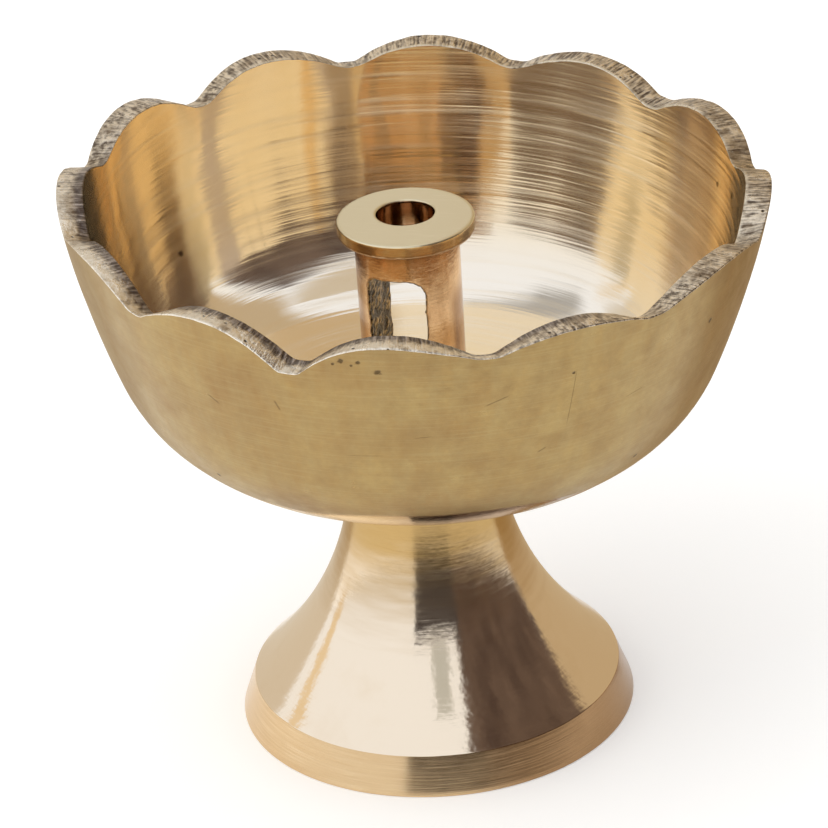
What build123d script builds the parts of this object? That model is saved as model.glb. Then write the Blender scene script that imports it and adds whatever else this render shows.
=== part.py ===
from build123d import *
import math
import os

os.makedirs("parts", exist_ok=True)

# Footed brass butter lamp. Millimetres, +Z up, standing on Z = 0.
# The origin is the centre of the ring that the foot stands on.
# The window of the wick holder looks along Y, and the cast bowl leans towards +X.

# Foot: a hollow trumpet with a bevelled band round the bottom
FOOT_RADIUS = 20.9
BAND_HEIGHT = 4.1
BAND_INSET = 1.5
NECK_RADIUS = 7.8
SWEEP_TOP = 30.0
NECK_LENGTH = 1.6
FOOT_WALL = 2.6
RING_WIDTH = 2.6
CROWN_THICKNESS = 9.0

# Bowl: flared wall, round belly, nearly flat bottom, measured along its own axis
RIM_RADIUS = 36.4
BOWL_HEIGHT = 28.8
WALL_FLARE = 15.9
BELLY_RADIUS = 16.5
BOTTOM_RISE = 3.0
BOWL_WALL = 2.65
BOWL_FLOOR = 3.0
SEAT_MARGIN = 0.6
BOWL_LEAN = 1.75

# Rim: hand-filed scallops, one valley between each two lobes
LOBES = 12
FIRST_VALLEY = -5.0
VALLEY_RADIUS = 2.4
LOBE_LAND = 0.8
LOBE_BREAK = 0.05
VALLEY_SHIFTS = [-1.6, -0.5, -1.2, 2.4, -0.4, -0.1, 0.0, -0.1, 0.4, 1.2, -0.3, -2.1]
VALLEY_DEPTHS = [3.6, 2.3, 2.2, 2.4, 2.2, 2.4, 2.2, 2.2, 2.8, 2.4, 2.3, 3.0]

# Wick holder: a flanged sleeve with a window through it, on a tapped plinth
BORE_RADIUS = 3.0
HOLDER_WALL = 2.4
HOLDER_TAPER = 0.1
HOLDER_HEIGHT = 21.6
FLANGE_LIP = 1.6
FLANGE_THICKNESS = 1.5
FLANGE_BREAK = 0.2
COLLAR_LENGTH = 4.9
WINDOW_EASE = 0.05
WINDOW_CORNER = 1.3
PLINTH_HEIGHT = 4.5
CORE_ASIDE = -0.5
CORE_BACK = 0.9

# Fasteners on the one axis that draws holder, bowl and foot together
STUD_RADIUS = 2.5
STUD_CHAMFER = 0.5
STUD_BACKOFF = 0.5
STUD_TAIL = 2.0
NUT_FLATS = 8.0
NUT_HEIGHT = 4.0
NUT_CHAMFER = 0.4
CLAMP_WASHER_RIM = 2.5
CLAMP_WASHER_THICKNESS = 1.0
SEAL_THICKNESS = 0.8
SEAL_OVERHANG = 0.2
SPOT_DEPTH = 0.3

# Clearances, all on the radius
THREAD_GAP = 0.05
HOLE_GAP = 0.3
WASHER_GAP = 0.15
SPOT_GAP = 0.3
POCKET_GAP = 0.4
CUT_MARGIN = 4.0

# Sizes that follow from the ones above
RIDGE_RADIUS = FOOT_RADIUS - BAND_INSET
SEAT_HEIGHT = SWEEP_TOP + NECK_LENGTH
CROWN_UNDERSIDE = SEAT_HEIGHT - CROWN_THICKNESS
SEAT_RADIUS = NECK_RADIUS + SEAT_MARGIN
SWEEP_RISE = SWEEP_TOP - BAND_HEIGHT
SWEEP_RUN = RIDGE_RADIUS - NECK_RADIUS
SWEEP_RADIUS = (SWEEP_RUN ** 2 + SWEEP_RISE ** 2) / (2 * SWEEP_RUN)
LEAN = math.radians(BOWL_LEAN)
RIM_INNER_RADIUS = RIM_RADIUS - BOWL_WALL / math.cos(math.radians(WALL_FLARE))
COLLAR_RADIUS = BORE_RADIUS + HOLDER_WALL
HOLDER_FOOT_RADIUS = COLLAR_RADIUS - HOLDER_TAPER
FLANGE_RADIUS = COLLAR_RADIUS + FLANGE_LIP
SEAL_RADIUS = HOLDER_FOOT_RADIUS + SEAL_OVERHANG
SPOT_RADIUS = SEAL_RADIUS + SPOT_GAP
CLAMP_WASHER_RADIUS = STUD_RADIUS + CLAMP_WASHER_RIM
NUT_CORNER_RADIUS = NUT_FLATS / 2 / math.cos(math.pi / 6)
POCKET_RADIUS = max(CLAMP_WASHER_RADIUS, NUT_CORNER_RADIUS) + POCKET_GAP

# Heights on the axis: the spot face just clears the low side of the leaning floor
SPOT_HEIGHT = (
    SEAT_HEIGHT
    + BOWL_FLOOR * math.cos(LEAN)
    - (SPOT_RADIUS - BOWL_FLOOR * math.sin(LEAN)) * math.tan(LEAN)
    - SPOT_DEPTH
)
HOLDER_BOTTOM = SPOT_HEIGHT + SEAL_THICKNESS
HOLDER_TOP = HOLDER_BOTTOM + HOLDER_HEIGHT
WINDOW_BOTTOM = HOLDER_BOTTOM + PLINTH_HEIGHT
WINDOW_TOP = HOLDER_TOP - COLLAR_LENGTH
NUT_TOP = CROWN_UNDERSIDE - CLAMP_WASHER_THICKNESS
NUT_BOTTOM = NUT_TOP - NUT_HEIGHT
STUD_BOTTOM = NUT_BOTTOM - STUD_TAIL
STUD_TOP = WINDOW_BOTTOM - STUD_BACKOFF

# The bowl's own frame: origin at the middle of its seat, Z along its leaning axis
BOWL_FRAME = Location((0, 0, SEAT_HEIGHT)) * Rotation(0, BOWL_LEAN, 0)


def turned(edges):
    """Spin a half section, drawn as (radius, height), about the Z axis."""
    return revolve(Plane.XZ * make_face(edges), axis=Axis.Z)


def upright(radius, bottom, top):
    """A plain cylinder on the Z axis between two heights."""
    return Pos(0, 0, bottom) * extrude(Circle(radius), top - bottom)


def ring(outer, inner, bottom, top):
    """A flat ring on the Z axis between two heights."""
    return Pos(0, 0, bottom) * extrude(Circle(outer) - Circle(inner), top - bottom)


def sweep_radius(height, inset):
    """Radius of the trumpet at a height, or of its inner skin at an inset."""
    reach = SWEEP_RADIUS + inset
    return NECK_RADIUS + SWEEP_RADIUS - math.sqrt(reach ** 2 - (SWEEP_TOP - height) ** 2)


def sweep_height(radius, inset):
    """Height at which the trumpet's skin at an inset has this radius."""
    reach = SWEEP_RADIUS + inset
    return SWEEP_TOP - math.sqrt(reach ** 2 - (NECK_RADIUS + SWEEP_RADIUS - radius) ** 2)


def make_pedestal():
    """Trumpet foot: bevelled band, concave sweep, neck trimmed to the leaning bowl."""
    trim = SEAT_HEIGHT + CUT_MARGIN
    outside = Polyline((0, trim), (0, 0), (FOOT_RADIUS, 0), (RIDGE_RADIUS, BAND_HEIGHT))
    sweep = TangentArc((NECK_RADIUS, SWEEP_TOP), (RIDGE_RADIUS, BAND_HEIGHT), tangent=(0, -1))
    neck = Polyline((NECK_RADIUS, SWEEP_TOP), (NECK_RADIUS, trim), (0, trim))
    body = turned(outside + sweep + neck)

    ring_inner = FOOT_RADIUS - RING_WIDTH
    skin_start = sweep_height(ring_inner, FOOT_WALL)
    skin_middle = (skin_start + CROWN_UNDERSIDE) / 2
    skin_top = sweep_radius(CROWN_UNDERSIDE, FOOT_WALL)
    skin = ThreePointArc(
        (ring_inner, skin_start),
        (sweep_radius(skin_middle, FOOT_WALL), skin_middle),
        (skin_top, CROWN_UNDERSIDE),
    )
    below = Polyline((0, CROWN_UNDERSIDE), (0, -CUT_MARGIN), (ring_inner, -CUT_MARGIN), (ring_inner, skin_start))
    roof = Line((skin_top, CROWN_UNDERSIDE), (0, CROWN_UNDERSIDE))
    body -= turned(below + skin + roof)

    body -= upright(POCKET_RADIUS, STUD_BOTTOM, CROWN_UNDERSIDE)
    body -= upright(STUD_RADIUS + HOLE_GAP, 0, trim)
    seat = Plane(BOWL_FRAME)
    return split(body, bisect_by=seat, keep=Keep.BOTTOM)


def bowl_skin(foot_height, rim_radius, belly):
    """Line of the bowl's section from the flat bottom, round the belly, to the rim."""
    rise = math.tan(math.radians(BOTTOM_RISE))
    flare = math.tan(math.radians(WALL_FLARE))
    drop = BOWL_HEIGHT - foot_height + rise * SEAT_RADIUS
    corner_radius = (rim_radius - flare * drop) / (1 - flare * rise)
    corner_height = foot_height + rise * (corner_radius - SEAT_RADIUS)
    return FilletPolyline(
        (SEAT_RADIUS, foot_height),
        (corner_radius, corner_height),
        (rim_radius, BOWL_HEIGHT),
        radius=belly,
    )


def scallop(index):
    """Cutter for one valley: two lobe flanks that meet in a round-bottomed notch."""
    step = 360 / LOBES
    angles = [FIRST_VALLEY + step * k + VALLEY_SHIFTS[k % len(VALLEY_SHIFTS)] for k in range(LOBES)]
    before = angles[index - 1] - (360 if index == 0 else 0)
    after = angles[(index + 1) % LOBES] + (360 if index == LOBES - 1 else 0)
    here = angles[index]
    left = RIM_INNER_RADIUS * math.tan(math.radians(here - before) / 2) - LOBE_LAND / 2
    right = RIM_INNER_RADIUS * math.tan(math.radians(after - here) / 2) - LOBE_LAND / 2
    depth = VALLEY_DEPTHS[index % len(VALLEY_DEPTHS)]
    flank = 2 * math.atan(2 * depth / (left + right))
    cusp = BOWL_HEIGHT - depth - VALLEY_RADIUS * (1 / math.cos(flank) - 1)
    crest = BOWL_HEIGHT + LOBE_BREAK
    top = BOWL_HEIGHT + CUT_MARGIN
    outline = TangentArc((-left, crest), (0, cusp), tangent=(1, 0))
    outline += TangentArc((right, crest), (0, cusp), tangent=(-1, 0))
    outline += Polyline((right, crest), (right, top), (-left, top), (-left, crest))
    section = make_face(outline)
    section = fillet(section.vertices().sort_by(Axis.Y)[0], VALLEY_RADIUS)
    reach = RIM_RADIUS + CUT_MARGIN - RIM_INNER_RADIUS + CUT_MARGIN
    turn = math.radians(here - 90)
    out = (math.cos(turn), math.sin(turn), 0)
    across = (-math.sin(turn), math.cos(turn), 0)
    start = RIM_INNER_RADIUS - CUT_MARGIN
    side = Plane(origin=(out[0] * start, out[1] * start, 0), x_dir=across, z_dir=out)
    return extrude(side * section, reach)


def make_bowl():
    """Cast bowl with filed scallops, drilled and spot faced square to the stud."""
    outside = bowl_skin(0, RIM_RADIUS, BELLY_RADIUS)
    inside = bowl_skin(BOWL_FLOOR, RIM_INNER_RADIUS, BELLY_RADIUS - BOWL_WALL)
    bottom = Polyline((SEAT_RADIUS, BOWL_FLOOR), (0, BOWL_FLOOR), (0, 0), (SEAT_RADIUS, 0))
    lip = Line((RIM_RADIUS, BOWL_HEIGHT), (RIM_INNER_RADIUS, BOWL_HEIGHT))
    body = turned(outside + lip + inside + bottom)
    for index in range(LOBES):
        body -= scallop(index)
    body = BOWL_FRAME * body
    body -= upright(SPOT_RADIUS, SPOT_HEIGHT, SPOT_HEIGHT + CUT_MARGIN)
    body -= upright(STUD_RADIUS + HOLE_GAP, SEAT_HEIGHT - CUT_MARGIN, SPOT_HEIGHT + CUT_MARGIN)
    return body


def make_wick_holder():
    """Flanged sleeve: collar and arched window cast round a core that sat off the axis, tapped plinth."""
    under_flange = HOLDER_TOP - FLANGE_THICKNESS
    post = Polyline(
        (0, HOLDER_BOTTOM),
        (HOLDER_FOOT_RADIUS, HOLDER_BOTTOM),
        (COLLAR_RADIUS, under_flange),
        (FLANGE_RADIUS - FLANGE_BREAK, under_flange),
        (FLANGE_RADIUS, under_flange + FLANGE_BREAK),
        (FLANGE_RADIUS, HOLDER_TOP - FLANGE_BREAK),
        (FLANGE_RADIUS - FLANGE_BREAK, HOLDER_TOP),
        (0, HOLDER_TOP),
        (0, HOLDER_BOTTOM),
    )
    body = turned(post)
    width = 2 * (BORE_RADIUS + WINDOW_EASE)
    middle = (WINDOW_BOTTOM + WINDOW_TOP) / 2
    arch = Pos(CORE_ASIDE, middle) * Rectangle(width, WINDOW_TOP - WINDOW_BOTTOM)
    arch = fillet(arch.vertices().group_by(Axis.Y)[-1], WINDOW_CORNER)
    body -= extrude(Plane.XZ * arch, FLANGE_RADIUS + CUT_MARGIN, both=True)
    body -= Pos(CORE_ASIDE, CORE_BACK, 0) * upright(BORE_RADIUS, WINDOW_BOTTOM, HOLDER_TOP + CUT_MARGIN)
    body -= upright(STUD_RADIUS + THREAD_GAP, HOLDER_BOTTOM - CUT_MARGIN, WINDOW_BOTTOM + CUT_MARGIN / 2)
    return body


def make_tie_stud():
    """Threaded stud, drawn at its major diameter, chamfered at both ends."""
    end = STUD_RADIUS - STUD_CHAMFER
    return turned(Polyline(
        (0, STUD_BOTTOM),
        (end, STUD_BOTTOM),
        (STUD_RADIUS, STUD_BOTTOM + STUD_CHAMFER),
        (STUD_RADIUS, STUD_TOP - STUD_CHAMFER),
        (end, STUD_TOP),
        (0, STUD_TOP),
        (0, STUD_BOTTOM),
    ))


def make_clamp_nut():
    """Hexagon nut under the crown, its corners chamfered on both faces."""
    hexagon = RegularPolygon(NUT_FLATS / 2, 6, major_radius=False)
    body = Pos(0, 0, NUT_BOTTOM) * extrude(hexagon, NUT_HEIGHT)
    face_radius = NUT_FLATS / 2
    rise = NUT_CHAMFER
    body &= turned(Polyline(
        (0, NUT_BOTTOM),
        (face_radius, NUT_BOTTOM),
        (NUT_CORNER_RADIUS, NUT_BOTTOM + rise),
        (NUT_CORNER_RADIUS, NUT_TOP - rise),
        (face_radius, NUT_TOP),
        (0, NUT_TOP),
        (0, NUT_BOTTOM),
    ))
    return body - upright(STUD_RADIUS + THREAD_GAP, NUT_BOTTOM - CUT_MARGIN, NUT_TOP + CUT_MARGIN)


clamp_washer = ring(CLAMP_WASHER_RADIUS, STUD_RADIUS + WASHER_GAP, NUT_TOP, CROWN_UNDERSIDE)
seal_washer = ring(SEAL_RADIUS, STUD_RADIUS + THREAD_GAP, SPOT_HEIGHT, HOLDER_BOTTOM)

export_step(make_pedestal(), "parts/pedestal.step")
export_step(make_bowl(), "parts/bowl.step")
export_step(make_wick_holder(), "parts/wick_holder.step")
export_step(make_tie_stud(), "parts/tie_stud.step")
export_step(make_clamp_nut(), "parts/clamp_nut.step")
export_step(clamp_washer, "parts/clamp_washer.step")
export_step(seal_washer, "parts/seal_washer.step")

# Heights that the joints and mounts use
print("spot face", round(SPOT_HEIGHT, 4), "holder", round(HOLDER_BOTTOM, 4), round(HOLDER_TOP, 4))
print("window", round(WINDOW_BOTTOM, 4), round(WINDOW_TOP, 4), "stud", round(STUD_BOTTOM, 4), round(STUD_TOP, 4))
print("crown underside", round(CROWN_UNDERSIDE, 4), "rim inner radius", round(RIM_INNER_RADIUS, 4))
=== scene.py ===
import math

import bmesh
import bpy
from mathutils import Matrix, Vector


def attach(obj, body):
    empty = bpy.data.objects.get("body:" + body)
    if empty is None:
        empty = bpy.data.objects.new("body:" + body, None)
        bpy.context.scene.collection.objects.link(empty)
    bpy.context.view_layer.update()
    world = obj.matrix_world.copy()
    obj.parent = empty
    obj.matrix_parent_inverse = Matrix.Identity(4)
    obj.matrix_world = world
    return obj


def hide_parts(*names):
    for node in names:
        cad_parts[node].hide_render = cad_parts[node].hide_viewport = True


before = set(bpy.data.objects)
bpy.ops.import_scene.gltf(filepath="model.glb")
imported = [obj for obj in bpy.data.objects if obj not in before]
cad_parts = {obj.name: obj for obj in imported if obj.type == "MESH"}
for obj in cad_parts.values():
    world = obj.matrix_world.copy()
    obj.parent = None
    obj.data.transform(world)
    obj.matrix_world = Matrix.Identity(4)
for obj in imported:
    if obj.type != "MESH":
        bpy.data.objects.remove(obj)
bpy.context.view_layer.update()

# Foot: a hollow cast trumpet, turned and buffed to a mirror, with a satin bevelled
# band round the bottom. The neck is cut square to the leaning bowl that sits on it.
MM = 0.001
FOOT_RADIUS = 20.9
BAND_HEIGHT = 4.1
RIDGE_RADIUS = 19.4
NECK_RADIUS = 7.8
SWEEP_TOP = 30.0
SEAT_HEIGHT = 31.6
FOOT_WALL = 2.6
RING_WIDTH = 2.6
CROWN_UNDERSIDE = 22.6
STUD_HOLE = 2.8
BOWL_LEAN = math.radians(1.75)
SWEEP_OUT = RIDGE_RADIUS - NECK_RADIUS
SWEEP_UP = SWEEP_TOP - BAND_HEIGHT
SWEEP_RADIUS = (SWEEP_OUT ** 2 + SWEEP_UP ** 2) / (2 * SWEEP_OUT)
SWEEP_CENTRE = (NECK_RADIUS + SWEEP_RADIUS, SWEEP_TOP)
RING_EDGE = 0.3
TOE_EDGE = 0.18
RIDGE_EDGE = 0.25
SEAM = 0.001 * MM
UNBUFFED_SHADE_HEIGHT = (14.5, 27.0)
DARKER_ASIDE = (5.0, 14.0)


def arc(centre, radius, start, end, count):
    """Points on a circle, in (radius, height), between two angles in degrees."""
    points = []
    for k in range(count + 1):
        turn = math.radians(start + (end - start) * k / count)
        points.append((centre[0] + radius * math.cos(turn), centre[1] + radius * math.sin(turn)))
    return points


def rounded(before, corner, after, radius, count):
    """Points of the arc that rounds off one corner of a section."""
    tip = Vector(corner)
    inward, onward = (Vector(before) - tip).normalized(), (Vector(after) - tip).normalized()
    half = inward.angle(onward) / 2
    middle = tip + (inward + onward).normalized() * (radius / math.sin(half))
    first = tip + inward * (radius / math.tan(half)) - middle
    last = tip + onward * (radius / math.tan(half)) - middle
    sweep = first.angle_signed(last)
    points = []
    for k in range(count + 1):
        turn = -sweep * k / count
        over, up = math.cos(turn), math.sin(turn)
        spot = (first.x * over - first.y * up, first.x * up + first.y * over)
        points.append((middle.x + spot[0], middle.y + spot[1]))
    return points


def line(start, end, count):
    """Evenly spaced points from start up to, but not at, end."""
    return [tuple(low + (high - low) * k / count for low, high in zip(start, end)) for k in range(count)]


def in_scene(name, data):
    """A new object in the scene with this mesh, lamp or camera."""
    thing = bpy.data.objects.new(name, data)
    bpy.context.scene.collection.objects.link(thing)
    return thing


def draw_section(name, rows):
    """A half section as a chain of points; each row is radius, height, zone and share, in millimetres."""
    mesh = bpy.data.meshes.new(name)
    points = [(row[0] * MM, 0, row[1] * MM) for row in rows]
    mesh.from_pydata(points, [(k, k + 1) for k in range(len(rows) - 1)], [])
    for label, column in (("zone", 2), ("share", 3)):
        values = mesh.attributes.new(label, "FLOAT", "POINT")
        values.data.foreach_set("value", [float(row[column]) for row in rows])
    return in_scene(name, mesh)


def feed(socket, value):
    """Gives a socket a plain value, or links another node's output to it."""
    if isinstance(value, bpy.types.NodeSocket):
        socket.id_data.links.new(value, socket)
    else:
        socket.default_value = value


def add(tree, kind, feeds=None, **settings):
    """Adds one node with its settings, and feeds its inputs by name or number."""
    node = tree.nodes.new(kind)
    for key, value in settings.items():
        setattr(node, key, value)
    for key, value in (feeds or {}).items():
        feed(node.inputs[key], value)
    return node


def linked(kind, feeds, **settings):
    """Adds one node to the tree that the outputs which feed it belong to."""
    outputs = [value for value in feeds.values() if isinstance(value, bpy.types.NodeSocket)]
    return add(outputs[0].id_data, kind, feeds, **settings)


def calc(operation, *values):
    """One step of arithmetic on values or outputs."""
    return linked("ShaderNodeMath", dict(enumerate(values)), operation=operation).outputs[0]


def minus(first, second):
    """The difference of two values or outputs."""
    if isinstance(first, float) and isinstance(second, float):
        return first - second
    return calc("SUBTRACT", first, second)


def times(product, *others):
    """The product of two or more values or outputs."""
    for other in others:
        product = calc("MULTIPLY", product, other)
    return product


def split(vector):
    """The X, Y and Z of a vector."""
    return linked("ShaderNodeSeparateXYZ", {0: vector}).outputs


def join(x=0.0, y=0.0, z=0.0):
    """A vector from its X, Y and Z."""
    return linked("ShaderNodeCombineXYZ", {0: x, 1: y, 2: z}).outputs[0]


def calc_vector(operation, first, second=(0, 0, 0)):
    """One step of arithmetic on vectors; a length, a distance or a dot product is a number."""
    node = linked("ShaderNodeVectorMath", {0: first, 1: second}, operation=operation)
    return node.outputs["Value" if operation in ("LENGTH", "DISTANCE", "DOT_PRODUCT") else "Vector"]


def scaled(vector, amount):
    """A vector made longer or shorter."""
    return linked("ShaderNodeVectorMath", {0: vector, "Scale": amount}, operation="SCALE").outputs[0]


def place_of(tree):
    """Where a point of the mesh is, in the tree's own unit."""
    return tree.nodes.new("GeometryNodeInputPosition").outputs[0]


def moved(geometry, **to):
    """Moves the points of a mesh, to a Position or by an Offset."""
    return linked("GeometryNodeSetPosition", {"Geometry": geometry, **to}).outputs[0]


def blend_values(share, low, high):
    """low where share is 0 and high where it is 1."""
    return calc("MULTIPLY_ADD", minus(high, low), share, low)


def new_tree(name, kind, result, **inputs):
    """A node group with one result and the named inputs of each type; returns it and its inputs by name."""
    tree = bpy.data.node_groups.new(name, kind + "NodeTree")
    for socket_type, labels in inputs.items():
        for label in labels:
            tree.interface.new_socket(label, in_out="INPUT", socket_type="NodeSocket" + socket_type)
    result_type = "NodeSocketGeometry" if kind == "Geometry" else "NodeSocketFloat"
    tree.interface.new_socket(result, in_out="OUTPUT", socket_type=result_type)
    start = tree.nodes.new("NodeGroupInput")
    return tree, {socket.name: socket for socket in start.outputs if socket.name}


def shape_tree(name, inputs):
    """A geometry tree that works on a base mesh, with one named input for each number or material."""
    types = {"Int": int, "Float": float, "Material": bpy.types.Material}
    labels = {kind: [key for key in inputs if isinstance(inputs[key], types[kind])] for kind in types}
    return new_tree(name, "Geometry", "Mesh", Geometry=["Base"], **labels)


def close_tree(result):
    """Feeds the group's one result."""
    feed(result.id_data.nodes.new("NodeGroupOutput").inputs[0], result)


def named(tree, label):
    """Reads a number that an earlier step stored on the mesh."""
    node = add(tree, "GeometryNodeInputNamedAttribute", {"Name": label}, data_type="FLOAT")
    return node.outputs["Attribute"]


def store(geometry, label, value):
    """Stores a number on each point of the mesh."""
    feeds = {"Geometry": geometry, "Name": label, "Value": value}
    return linked("GeometryNodeStoreNamedAttribute", feeds, data_type="FLOAT", domain="POINT").outputs[0]


def random_at(point, seed, scale, detail, roughness=0.5):
    """Smooth random values from 0 to 1."""
    feeds = {"Vector": point, "W": seed, "Scale": scale, "Detail": detail, "Roughness": roughness}
    return linked("ShaderNodeTexNoise", feeds, noise_dimensions="4D").outputs[0]


def noise(point, size, seed, detail=2.0):
    """Smooth random values from -0.5 to 0.5, with lumps of about this size in millimetres."""
    return minus(random_at(point, seed, 1 / size, detail), 0.5)


def point_mm(tree):
    """Where a point of a mesh in metres is, in millimetres."""
    return scaled(place_of(tree), 1 / MM)


def swell(geometry, amount):
    """Moves the surface out along its normal by an amount in metres."""
    normal = geometry.id_data.nodes.new("GeometryNodeInputNormal").outputs[0]
    return moved(geometry, Offset=scaled(normal, amount))


def coat(geometry, zones):
    """Closes the seams, smooths the shading and gives each zone its material."""
    mesh = linked("GeometryNodeMergeByDistance", {"Geometry": geometry, "Distance": SEAM}).outputs[0]
    mesh = linked("GeometryNodeSetShadeSmooth", {"Geometry": mesh}).outputs[0]
    mesh = linked("GeometryNodeRealizeInstances", {"Geometry": mesh}).outputs[0]
    for number, material in enumerate(zones):
        chosen = calc("COMPARE", named(mesh.id_data, "zone"), float(number), 0.5)
        feeds = {"Geometry": mesh, "Selection": chosen, "Material": material}
        mesh = linked("GeometryNodeSetMaterial", feeds).outputs[0]
    return mesh


def made_by(tree, base, inputs):
    """Runs a tree on a base object and leaves the result as its plain mesh."""
    modifier = base.modifiers.new(tree.name, "NODES")
    modifier.node_group = tree
    for item in tree.interface.items_tree:
        if item.item_type == "SOCKET" and item.in_out == "INPUT" and item.name in inputs:
            modifier[item.identifier] = inputs[item.name]
    evaluated = base.evaluated_get(bpy.context.evaluated_depsgraph_get())
    mesh = bpy.data.meshes.new_from_object(evaluated)
    base.modifiers.remove(modifier)
    base.data = mesh
    shell = bmesh.new()
    shell.from_mesh(mesh)
    bmesh.ops.recalc_face_normals(shell, faces=shell.faces)
    shell.to_mesh(mesh)
    shell.free()
    return base


# The lathe: spins a half section round the Z axis and keeps each row's zone and share.
# The angle starts at the front, on -Y, and grows towards +X.
lathe, given = new_tree("turned_section", "Geometry", "Mesh", Geometry=["Section"], Int=["Steps Around"])
count = linked("GeometryNodeAttributeDomainSize", {0: given["Section"]}, component="MESH")
count = count.outputs["Point Count"]
columns = calc("ADD", given["Steps Around"], 1)
feeds = {"Size X": 1.0, "Size Y": 1.0, "Vertices X": columns, "Vertices Y": count}
sheet = linked("GeometryNodeMeshGrid", feeds)
spot = place_of(lathe)
across = split(spot)
around = times(calc("ADD", across[0], 0.5), math.tau)
row = times(calc("ADD", across[1], 0.5), minus(count, 1))
row = calc("ROUND", row)
mesh = store(sheet.outputs[0], "around", around)
for label in ("zone", "share"):
    feeds = {"Geometry": given["Section"], "Value": named(lathe, label), "Index": row}
    value = linked("GeometryNodeSampleIndex", feeds, data_type="FLOAT", domain="POINT").outputs[0]
    mesh = store(mesh, label, value)
feeds = {"Geometry": given["Section"], "Value": spot, "Index": row}
drawn = linked("GeometryNodeSampleIndex", feeds, data_type="FLOAT_VECTOR", domain="POINT").outputs[0]
drawn = split(drawn)
spun = join(
    times(drawn[0], calc("SINE", around)),
    times(drawn[0], calc("COSINE", around), -1),
    drawn[2],
)
close_tree(moved(mesh, Position=spun))


def turned(given):
    """The mesh that the lathe makes of a tree's section."""
    feeds = {"Section": given["Base"], "Steps Around": given["Steps Around"]}
    return linked("GeometryNodeGroup", feeds, node_tree=lathe).outputs[0]


def new_finish(name, color, roughness, metallic=1.0):
    """A material with one plain Principled shader; returns it with its tree and shader."""
    material = bpy.data.materials.new(name)
    material.use_nodes = True
    tree = material.node_tree
    shader = tree.nodes["Principled BSDF"]
    shader.inputs["Base Color"].default_value = (*color, 1.0)
    shader.inputs["Roughness"].default_value = roughness
    shader.inputs["Metallic"].default_value = metallic
    return material, tree, shader


def surface_mm(tree):
    """The shaded point in the lamp's own frame, in millimetres."""
    return scaled(tree.nodes.new("ShaderNodeTexCoord").outputs["Object"], 1 / MM)


def effect(group, **feeds):
    """Places a shader group and returns its one output."""
    return linked("ShaderNodeGroup", feeds, node_tree=group).outputs[0]


def fade(value, low, high):
    """0 at low, 1 at high, eased between them."""
    feeds = {"Value": value, "From Min": low, "From Max": high}
    return linked("ShaderNodeMapRange", feeds, interpolation_type="SMOOTHSTEP").outputs[0]


def mix_colors(share, low, high):
    """One colour going over to another; a colour is three numbers or an output."""
    ends = [end if isinstance(end, bpy.types.NodeSocket) else (*end, 1.0) for end in (low, high)]
    return linked("ShaderNodeMix", {0: share, 6: ends[0], 7: ends[1]}, data_type="RGBA").outputs[2]


def layered(color, *layers):
    """Lays tints over a colour; each layer is where it shows, how strongly, and its tint."""
    for share, strength, tint in layers:
        color = mix_colors(times(share, strength), color, tint)
    return color


def dress(shader, color, roughness):
    """Gives a shader its painted colour and roughness."""
    feed(shader.inputs["Base Color"], color)
    feed(shader.inputs["Roughness"], roughness)


def relief(shader, height, depth_mm):
    """Bumps the surface by a height times a depth in millimetres."""
    bump = linked("ShaderNodeBump", {"Strength": 1.0, "Distance": depth_mm * MM, "Height": height})
    feed(shader.inputs["Normal"], bump.outputs[0])


def brushed(shader, amount):
    """Stretches the gloss across marks that run round the Z axis."""
    shader.inputs["Anisotropic"].default_value = amount
    shader.inputs["Anisotropic Rotation"].default_value = 0.25
    tangent = add(shader.id_data, "ShaderNodeTangent", direction_type="RADIAL", axis="Z")
    feed(shader.inputs["Tangent"], tangent.outputs[0])


turning_marks, given = new_tree(
    "turning_marks", "Shader", "Lines", Vector=["Point"], Float=["Pitch", "Wander"])
parts = split(given["Point"])
flat = join(parts[0], parts[1])
radius = calc_vector("LENGTH", flat)
heading = calc_vector("NORMALIZE", flat)
heading = split(scaled(heading, given["Wander"]))
ring = join(
    calc("DIVIDE", radius, given["Pitch"]),
    calc("DIVIDE", parts[2], given["Pitch"]),
    heading[0],
)
lines = random_at(ring, heading[1], scale=1.0, detail=2.0, roughness=0.55)
close_tree(lines)

mottle, given = new_tree(
    "mottle", "Shader", "Patches", Vector=["Point"], Float=["Size", "Seed", "Contrast"])
scale = calc("DIVIDE", 1.0, given["Size"])
patches = random_at(given["Point"], given["Seed"], scale, detail=4.0, roughness=0.6)
patches = calc("MULTIPLY_ADD", minus(patches, 0.5), given["Contrast"], 0.5)
close_tree(linked("ShaderNodeClamp", {0: patches}).outputs[0])

foot_polish, tree, shader = new_finish("foot_polish", (0.86, 0.75, 0.60), 0.10)
point = surface_mm(tree)
height = split(point)[2]
patches = effect(mottle, Point=point, Size=6.0, Seed=1.7, Contrast=1.6)
fine = effect(turning_marks, Point=point, Pitch=0.32, Wander=2.5)
wide = effect(turning_marks, Point=point, Pitch=1.1, Wander=1.6)
# Towards the neck the brass is left unbuffed and duller, and its brown there is also painted shade under
# the bowl.
unbuffed_and_shade = fade(calc("MULTIPLY_ADD", wide, 6.0, height), *UNBUFFED_SHADE_HEIGHT)
color = mix_colors(unbuffed_and_shade, (0.885, 0.775, 0.64), (0.52, 0.34, 0.135))
color = layered(color, (fade(patches, 0.5, 1.0), 0.2, (0.70, 0.52, 0.30)))
gloss = calc("MULTIPLY_ADD", unbuffed_and_shade, 0.12, calc("MULTIPLY_ADD", fine, 0.10, 0.06))
dress(shader, color, gloss)
height = calc("MULTIPLY_ADD", patches, 3.5, blend_values(0.5, fine, wide))
relief(shader, height, 0.016)
brushed(shader, 0.35)

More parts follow.
